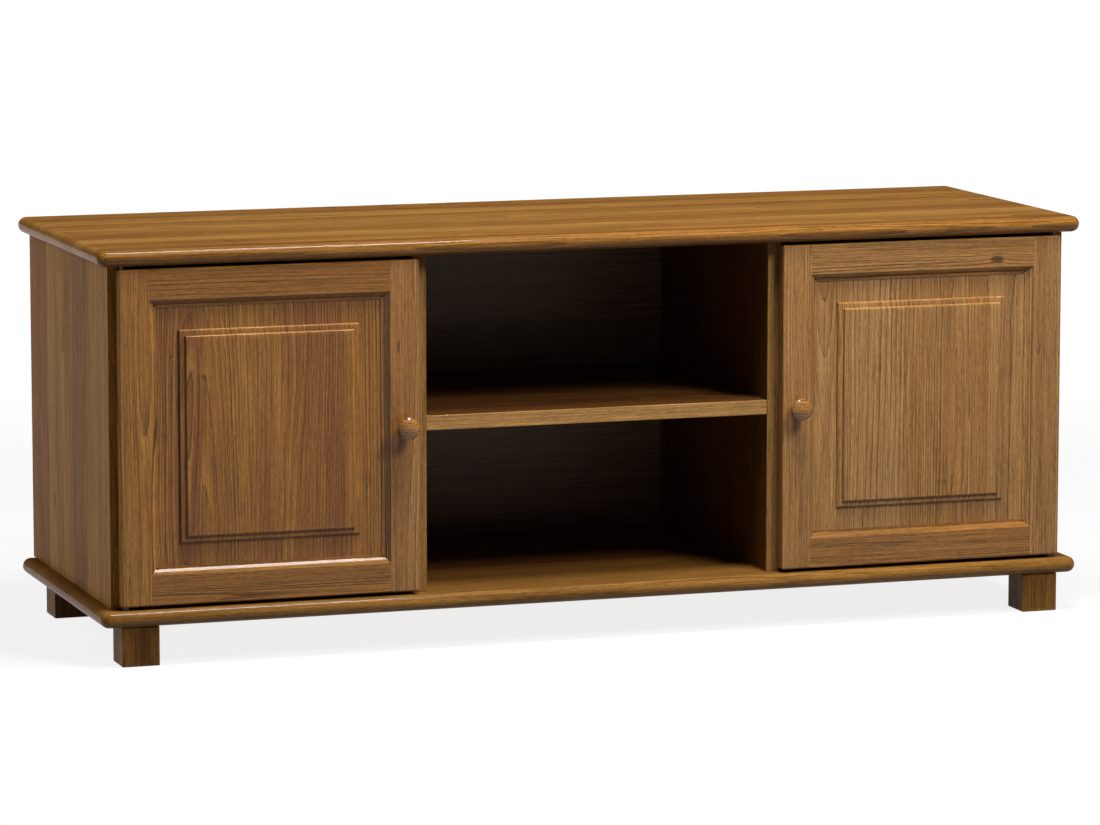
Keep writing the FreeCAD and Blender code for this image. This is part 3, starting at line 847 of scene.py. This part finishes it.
def screw_tree(steel):
    """Geometry nodes that set a domed, cross-headed screw on each point, along its facing."""
    tree = bpy.data.node_groups.new("cross-headed screws", "GeometryNodeTree")
    nodes = NodeMaker(tree)
    nodes.sockets(("Geometry",), "Geometry")
    nodes.sockets(("Head diameter", "Head height", "Cross width", "Shank diameter", "Shank length"))
    nodes.sockets(("Geometry",), "Geometry", "OUTPUT")
    inlet = nodes.add("NodeGroupInput").outputs
    diameter, rise, cross, shank_diameter, shank_length = (inlet[index] for index in range(1, 6))
    radius = nodes.over(diameter, 2.0)

    def solid(kind, inputs, **change):
        mesh = nodes.add("GeometryNodeMesh" + kind, inputs).outputs["Mesh"]
        return nodes.add("GeometryNodeTransform", {"Geometry": mesh, **change}).outputs["Geometry"]

    flatten = nodes.joined(1.0, 1.0, nodes.over(rise, radius))
    dome = solid("UVSphere", {"Segments": 28, "Rings": 14, "Radius": radius}, Scale=flatten)
    cut = nodes.add("GeometryNodeMeshBoolean", {"Mesh 1": dome}, operation="DIFFERENCE", solver="EXACT")

    # Two bars cut the cross, and a slab cuts off the lower half of the dome
    wide = nodes.times(diameter, 0.62)
    deep = nodes.times(rise, 1.1)
    lift = nodes.joined(0.0, 0.0, rise)
    sink = nodes.joined(0.0, 0.0, nodes.times(rise, -0.5))
    around = nodes.times(radius, 4.0)
    for size, place in (
        (nodes.joined(wide, cross, deep), lift),
        (nodes.joined(cross, wide, deep), lift),
        (nodes.joined(around, around, rise), sink),
    ):
        nodes.fill(cut, {"Mesh 2": solid("Cube", {"Size": size}, Translation=place)})

    drop = nodes.joined(0.0, 0.0, nodes.times(shank_length, -0.5))
    shank_size = {"Vertices": 16, "Radius": nodes.over(shank_diameter, 2.0), "Depth": shank_length}
    whole = nodes.add("GeometryNodeJoinGeometry", {"Geometry": cut.outputs["Mesh"]})
    nodes.fill(whole, {"Geometry": solid("Cylinder", shank_size, Translation=drop)})
    facing = nodes.add("GeometryNodeInputNamedAttribute", {"Name": "facing"}, data_type="FLOAT_VECTOR")
    way = {"Vector": facing.outputs["Attribute"]}
    spread = nodes.add("GeometryNodeInstanceOnPoints", {
        "Points": inlet["Geometry"], "Instance": whole.outputs["Geometry"],
        "Rotation": nodes.add("FunctionNodeAlignRotationToVector", way, axis="Z").outputs["Rotation"],
    })
    real = nodes.add("GeometryNodeRealizeInstances", {"Geometry": spread.outputs["Instances"]}).outputs[0]
    painted = nodes.add("GeometryNodeSetMaterial", {"Geometry": real, "Material": steel}).outputs[0]
    nodes.add("NodeGroupOutput", {"Geometry": painted})
    return tree


def grown_mesh(name, seats, tree, sizes):
    """Plain mesh that a tree grows on the seats, each a point and the way that it faces."""
    mesh = bpy.data.meshes.new(name)
    mesh.from_pydata([point for point, facing in seats], [], [])
    facing = mesh.attributes.new("facing", "FLOAT_VECTOR", "POINT")
    facing.data.foreach_set("vector", [part for point, way in seats for part in way])
    grower = show(name + "_seats", mesh)
    modifier = grower.modifiers.new("growth", "NODES")
    modifier.node_group = tree
    for item in tree.interface.items_tree:
        if item.in_out == "INPUT" and item.name in sizes:
            modifier[item.identifier] = sizes[item.name]
    depsgraph = bpy.context.evaluated_depsgraph_get()
    grown = bpy.data.meshes.new_from_object(grower.evaluated_get(depsgraph))
    bpy.data.objects.remove(grower)
    if not grown.polygons:
        raise RuntimeError("nothing grew for " + name)
    grown.name = name
    shade(grown)
    return grown


class CABINET_OT_boards(Operator):
    """Make the top and base boards with their half-round edges"""

    bl_idname = "cabinet.boards"
    bl_label = "Top and base boards"

    def execute(self, context):
        shape = context.scene.cabinet_boards
        both = {"Cut": WIDE_CUT, "Coat": 0.25}
        # Both boards are darkened with painted shade: the top against its stronger light from above, the
        # base for the shade in the open bay
        looks = {
            "top_board": {
                "Seed": 7.0, "Stave": 0.06, "Spread": 1.4, "Tone": 0.45, "Ruddy": 0.3, "Painted shade": 0.73,
                "Figure": 1.8,
            },
            "base_board": {
                "Seed": 8.0, "Stave": 0.095, "Spread": 0.8, "Tone": 0.75, "Ruddy": 1.8, "Painted shade": 0.57,
            },
        }
        for node, look in looks.items():
            add_pine(node, half_round_board(*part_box(node), shape), LYING, **both, **look)
        return {"FINISHED"}


class CABINET_OT_uprights(Operator):
    """Make the side panels and the partitions"""

    bl_idname = "cabinet.uprights"
    bl_label = "Sides and partitions"

    def execute(self, context):
        both = {"Cut": WIDE_CUT, "Tone": 0.5, "Coat": 0.02, "Gloss": 0.03}
        side = {
            **both, "Stave": 0.05, "Spread": 1.4, "Figure": 1.8, "Rub and painted light": 0.1,
            "Knot across": 0.09, "Knot size": 0.006,
        }
        # Partitions: painted shade over their faces inside the bay
        partition = {**both, "Stave": 0.075, "Painted shade": 0.45, "Rub and painted light": 0.46, "Ruddy": 0.1, "Faded": 0.8}
        looks = {
            "left_side_panel": {**side, "Seed": 16.0, "Knot along": -0.13},
            "left_partition": {**partition, "Seed": 17.0},
            "right_side_panel": {**side, "Seed": 18.0, "Knot along": 0.13},
            "right_partition": {**partition, "Seed": 19.0},
        }
        # Fronts of the sides and partitions get painted light
        add_blocks(looks, STANDING_SIDEWAYS, context.scene.cabinet_boards.ease)
        return {"FINISHED"}


class CABINET_OT_shelves(Operator):
    """Make the middle shelf and the cupboard shelves"""

    bl_idname = "cabinet.shelves"
    bl_label = "Shelves"

    def execute(self, context):
        # Painted shade over the shelves inside the bay, and painted light on their fronts
        look = {"Stave": 0.085, "Tone": 0.75, "Ruddy": 1.8, "Painted shade": 0.44, "Rub and painted light": 1.0, "Faded": 0.4}
        nodes = ("middle_shelf", "left_cupboard_shelf", "right_cupboard_shelf")
        looks = {node: {**look, "Seed": 21.0 + index} for index, node in enumerate(nodes)}
        add_blocks(looks, LYING, context.scene.cabinet_boards.ease)
        return {"FINISHED"}


class CABINET_OT_back_panel(Operator):
    """Make the thin stained back panel"""

    bl_idname = "cabinet.back_panel"
    bl_label = "Back panel"

    def execute(self, context):
        finish = context.scene.cabinet_hardware
        node = "back_panel"
        mesh = finished_mesh(node, eased_block(*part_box(node), ease=0.0004, wear=0.003))
        material = plain_grain(
            "stained back board", finish.back_board, RAILWISE, roughness=0.4, contrast=0.45, gloss=0.27)
        add_piece("stained_back_panel", mesh, material, node)
        return {"FINISHED"}


class CABINET_OT_feet(Operator):
    """Make the four block feet"""

    bl_idname = "cabinet.feet"
    bl_label = "Feet"

    def execute(self, context):
        # Painted shade darkens the feet under the base board's overhang
        look = {"Stave": 0.2, "Tone": 0.5, "Ruddy": 0.6, "Painted shade": 0.52, "Coat": 0.05, "Figure": 0.65}
        nodes = [hand + "_" + part for hand in HANDS for part in ("front_foot", "rear_foot")]
        looks = {node: {**look, "Seed": 31.0 + index} for index, node in enumerate(nodes)}
        add_blocks(looks, STANDING_FRONTWAYS, context.scene.cabinet_boards.foot_ease, rubbed_and_lit=False)
        return {"FINISHED"}


def door_box(hand):
    """Lowest and highest corner of a door's frame."""
    stiles = (hand + "_door_hinge_stile", hand + "_door_knob_stile")
    return corners_of(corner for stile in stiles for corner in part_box(stile))


class CABINET_OT_door_frames(Operator):
    """Make the moulded stiles and rails of both doors"""

    bl_idname = "cabinet.door_frames"
    bl_label = "Door frames"

    # Seed, tone and share of greyed colour, a painted sheen, of each piece
    looks = {
        "left_door_hinge_stile": (47.0, 0.45, 0.2),
        "left_door_knob_stile": (41.0, 0.2, 0.9),
        "left_door_top_rail": (43.0, 0.95, 0.3),
        "left_door_bottom_rail": (44.0, 0.8, 0.2),
        "right_door_hinge_stile": (88.0, 0.2, 1.0),
        "right_door_knob_stile": (82.0, 0.35, 1.0),
        "right_door_top_rail": (49.0, 0.35, 1.0),
        "right_door_bottom_rail": (93.0, 0.5, 0.9),
    }
    extras = {
        "right_door_knob_stile": {"Figure": 0.7},
        "right_door_top_rail": {"Knot along": 0.11, "Knot across": -0.004, "Knot size": 0.006},
    }
    ruddy = {"left": 0.5, "right": 0.15}

    def execute(self, context):
        door = context.scene.cabinet_doors
        for node, (seed, tone, greyed_and_painted_sheen) in self.looks.items():
            hand, part = node.split("_door_")
            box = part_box(node)
            if "rail" in part:
                shell = rail_shell(door, *box, *door_box(hand), part == "top_rail")
                grain = RAILWISE
            else:
                shell = stile_shell(door, *box, (part == "hinge_stile") == (hand == "right"))
                grain = STANDING_FRONTWAYS
            look = {
                "Seed": seed, "Stave": 0.3, "Heart": 0.12, "Tone": tone, "Faded": greyed_and_painted_sheen,
                "Ruddy": self.ruddy[hand], **self.extras.get(node, {}),
            }
            add_pine(node, shell, grain, **look)
        return {"FINISHED"}


class CABINET_OT_door_panels(Operator):
    """Make the raised panels of both doors"""

    bl_idname = "cabinet.door_panels"
    bl_label = "Raised panels"

    def execute(self, context):
        door = context.scene.cabinet_doors
        looks = {
            "left": {"Seed": 67.0, "Tone": 0.72, "Ruddy": 1.0, "Figure": 0.9},
            "right": {"Seed": 75.0, "Tone": 0.22, "Ruddy": 0.15, "Faded": 1.0, "Figure": 0.85},
        }
        for hand, look in looks.items():
            node = hand + "_door_panel"
            shell = panel_shell(door, *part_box(node), door_box(hand)[0])
            add_pine(node, shell, STANDING_FRONTWAYS, Stave=0.065, Cut=0.06, **look)
        return {"FINISHED"}


class CABINET_OT_knobs(Operator):
    """Turn the two knobs"""

    bl_idname = "cabinet.knobs"
    bl_label = "Knobs"

    def execute(self, context):
        shape = context.scene.cabinet_knobs
        crown_tip = 0.0002
        look = {
            "Seed": 71.0, "Stave": 0.2, "Ring": 0.0085, "Heart": 0.05, "Figure": 1.7, "Tone": 0.2,
            "Faded": 0.6, "Coat": 0.6, "Gloss": 0.2,
        }
        for hand in HANDS:
            node = hand + "_door_knob"
            low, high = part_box(node)
            rim = (high.x - low.x) / 2
            reach = high.y - low.y
            crown_base = reach - shape.crown
            swell = self.falling(shape.swell, rim - shape.neck / 2)
            crown = self.falling(rim, shape.crown)
            sections = [(shape.foot / 2, 0.0), (shape.neck / 2, crown_base - shape.swell)]
            sections += [(rim - drop, crown_base - run) for run, drop in swell[-2::-1]]
            sections += [(run, reach - drop) for run, drop in crown[-2:0:-1]]
            sections.append((crown_tip, reach))
            shell = turned_shell((low + high) / 2, high.y, sections, shape.steps)
            edge_y = high.y - crown_base
            rim_edges = []
            for edge in shell.edges:
                if all(abs(end.co.y - edge_y) < CLOSE for end in edge.verts):
                    rim_edges.append(edge)
            round_edges(shell, rim_edges, shape.rim_bevel, RIM_STEPS)
            add_pine(node, shell, RAILWISE, **look)
        return {"FINISHED"}

    @staticmethod
    def falling(run, drop):
        """Points of an arc that starts level and falls by drop over the run."""
        radius = (run ** 2 + drop ** 2) / (2 * drop)
        turn = math.asin(run / radius)
        turns = [turn * step / KNOB_ARC_STEPS for step in range(KNOB_ARC_STEPS + 1)]
        return [(radius * math.sin(t), radius * (1 - math.cos(t))) for t in turns]


class CABINET_OT_screws(Operator):
    """Set the small screws of the back, the catches and the strike plates"""

    bl_idname = "cabinet.screws"
    bl_label = "Small screws"

    def execute(self, context):
        finish = context.scene.cabinet_hardware
        steel = brushed_metal("zinc plated screws", finish.steel, 0.34)
        tree = screw_tree(steel)
        for node in ("back_panel_screws", "catch_screws", "left_strike_screws", "right_strike_screws"):
            seats = []
            for low, high in islands(node):
                way = Vector((0, 1, 0))
                if node == "catch_screws":
                    way = Vector((math.copysign(1, low.x), 0, 0))
                half = abs((high - low).dot(way)) / 2
                seats.append(((low + high) / 2 + way * (half - finish.head_rise), way))
                length = 2 * half - finish.head_rise
            sizes = {
                "Head diameter": finish.head, "Head height": finish.head_rise,
                "Cross width": finish.slot_width,
                "Shank diameter": finish.head / 2, "Shank length": length,
            }
            mesh = grown_mesh(node + "_heads", seats, tree, sizes)
            add_piece("cross_headed_" + node, mesh, steel, node)
        return {"FINISHED"}


class CABINET_OT_hardware(Operator):
    """Finish the pins, bushes, catches, plates and hidden joinery"""

    bl_idname = "cabinet.hardware"
    bl_label = "Hardware"

    def execute(self, context):
        finish = context.scene.cabinet_hardware
        by_slot = {
            "zinc_steel": brushed_metal("zinc plated steel", finish.steel, roughness=0.3),
            "bronzed_steel": brushed_metal("bronzed steel", finish.bronzed, roughness=0.45),
            "brass": brushed_metal("turned brass", finish.brass, roughness=0.28),
            "brown_plastic": moulded(
                "brown catch plastic", finish.plastic, roughness=0.45, grain_size=0.0009, relief=0.00004),
            "magnet": moulded(
                "ground ferrite", finish.magnet, roughness=0.6, grain_size=0.0005, relief=0.00003),
            "beech": plain_grain(
                "bare beech", finish.beech, STANDING_SIDEWAYS, roughness=0.65, contrast=0.15, gloss=0.3),
        }
        for part in frame["record"]["subparts"]:
            node = frame["nodes"][part["node"]]
            if part["material_slot"] in by_slot and not node.hide_render:
                for place in node.material_slots:
                    place.material = by_slot[part["material_slot"]]
        return {"FINISHED"}


class CABINET_OT_stage(Operator):
    """Set the floor, the studio light and the camera"""

    bl_idname = "cabinet.stage"
    bl_label = "Stage"

    def execute(self, context):
        studio = context.scene.cabinet_studio
        self.lay_floor(studio)
        self.light_world(context, studio)
        self.hang_lamps(studio)
        self.place_camera(context, studio)
        context.scene.view_settings.view_transform = "Standard"
        return {"FINISHED"}

    @staticmethod
    def lay_floor(studio):
        radius = 60.0
        sink = 0.0004
        near_reach = 1.2
        far_reach = 3.5
        shell = bmesh.new()
        bmesh.ops.create_circle(shell, cap_ends=True, segments=96, radius=radius)
        mesh = bpy.data.meshes.new("floor")
        shell.to_mesh(mesh)
        shell.free()
        floor = show("floor", mesh)
        floor.location.z = -sink
        material, nodes, shader = new_material("pale floor")
        path = nodes.add("ShaderNodeLightPath").outputs
        seen = nodes.larger(path["Is Camera Ray"], path["Is Glossy Ray"], path["Is Transmission Ray"])
        place = nodes.object_place()
        distance = nodes.add("ShaderNodeVectorMath", {0: place}, operation="LENGTH").outputs["Value"]
        rise = studio.far_glow - studio.near_glow
        glow = nodes.linear(nodes.ramp(distance, near_reach, far_reach), rise, studio.near_glow)
        nodes.fill(shader, {
            "Base Color": rgba(studio.floor), "Roughness": 0.9, "Specular IOR Level": 0.1,
            "Emission Color": (1.0, 1.0, 1.0, 1.0), "Emission Strength": nodes.times(seen, glow),
        })
        mesh.materials.append(material)

    @staticmethod
    def light_world(context, studio):
        world = bpy.data.worlds.new("studio")
        world.use_nodes = True
        nodes = NodeMaker(world.node_tree)
        way = nodes.add("ShaderNodeTexCoord").outputs["Generated"]
        up = nodes.split(way)["Z"]
        low_end = 0.35
        high_start = 0.95
        spread = studio.high_light - studio.low_light
        strength = nodes.linear(nodes.ramp(up, low_end, high_start), spread, studio.low_light)
        warm_white = (1.0, 0.985, 0.96, 1.0)
        nodes.fill(world.node_tree.nodes["Background"], {"Strength": strength, "Color": warm_white})
        context.scene.world = world

    @classmethod
    def hang_lamps(cls, studio):
        front = cls.hang(
            "front light", studio.key,
            place=(1.4, -2.4, 3.1), aim=(0.1, 0.0, 0.3), size=(1.2, 1.2))
        side = cls.hang(
            "side light", studio.side,
            place=(-3.2, 1.6, 1.6), aim=(-0.7, 0.0, 0.3), size=(2.0, 2.0))
        for lamp in (front, side):
            lamp.visible_glossy = False
        cls.hang(
            "overhead light", studio.overhead,
            place=(0.15, -0.75, 2.6), aim=(0.15, -0.2, 0.3), size=(0.7, 0.65))

    @staticmethod
    def hang(name, power, place, aim, size):
        """Soft rectangular lamp that no camera sees."""
        light = bpy.data.lights.new(name, "AREA")
        light.shape = "RECTANGLE"
        light.size, light.size_y = size
        light.energy = power
        lamp = show(name, light)
        lamp.location = place
        lamp.rotation_euler = (Vector(aim) - Vector(place)).to_track_quat("-Z", "Y").to_euler()
        lamp.visible_camera = False
        return lamp

    @staticmethod
    def place_camera(context, studio):
        data = bpy.data.cameras.new("camera")
        data.sensor_width = 36.0
        data.sensor_fit = "HORIZONTAL"
        data.lens = studio.camera_lens
        data.clip_end = 200.0
        camera = show("camera", data)
        camera.location = studio.camera_place
        camera.rotation_euler = (math.radians(90) - studio.camera_pitch, 0.0, -studio.camera_yaw)
        context.scene.camera = camera


class CABINET_PT_sidebar(Panel):
    """Sidebar with every step and every setting of the cabinet"""

    bl_label = "Pine media cabinet"
    bl_idname = "CABINET_PT_sidebar"
    bl_space_type = "VIEW_3D"
    bl_region_type = "UI"
    bl_category = "Cabinet"

    def draw(self, context):
        column = self.layout.column()
        for step in STEPS:
            column.operator(step.bl_idname)
        for name, group in SETTINGS.items():
            box = self.layout.box()
            box.label(text=group.__doc__)
            for key in group.__annotations__:
                box.prop(getattr(context.scene, name), key)


SETTINGS = {
    "cabinet_wood": PineFinish,
    "cabinet_boards": BoardShape,
    "cabinet_doors": DoorShape,
    "cabinet_knobs": KnobShape,
    "cabinet_hardware": HardwareFinish,
    "cabinet_studio": StudioSettings,
}
STEPS = (
    CABINET_OT_boards,
    CABINET_OT_uprights,
    CABINET_OT_shelves,
    CABINET_OT_back_panel,
    CABINET_OT_feet,
    CABINET_OT_door_frames,
    CABINET_OT_door_panels,
    CABINET_OT_knobs,
    CABINET_OT_screws,
    CABINET_OT_hardware,
    CABINET_OT_stage,
)
CLASSES = (*SETTINGS.values(), *STEPS, CABINET_PT_sidebar)


def register():
    for entry in CLASSES:
        bpy.utils.register_class(entry)
    for name, group in SETTINGS.items():
        setattr(bpy.types.Scene, name, PointerProperty(type=group))


def unregister():
    for name in SETTINGS:
        delattr(bpy.types.Scene, name)
    for entry in reversed(CLASSES):
        bpy.utils.unregister_class(entry)


def main():
    register()
    bpy.ops.cabinet.boards()
    bpy.ops.cabinet.uprights()
    bpy.ops.cabinet.shelves()
    bpy.ops.cabinet.back_panel()
    bpy.ops.cabinet.feet()
    bpy.ops.cabinet.door_frames()
    bpy.ops.cabinet.door_panels()
    bpy.ops.cabinet.knobs()
    bpy.ops.cabinet.screws()
    bpy.ops.cabinet.hardware()
    bpy.ops.cabinet.stage()


if __name__ == "__main__":
    main()
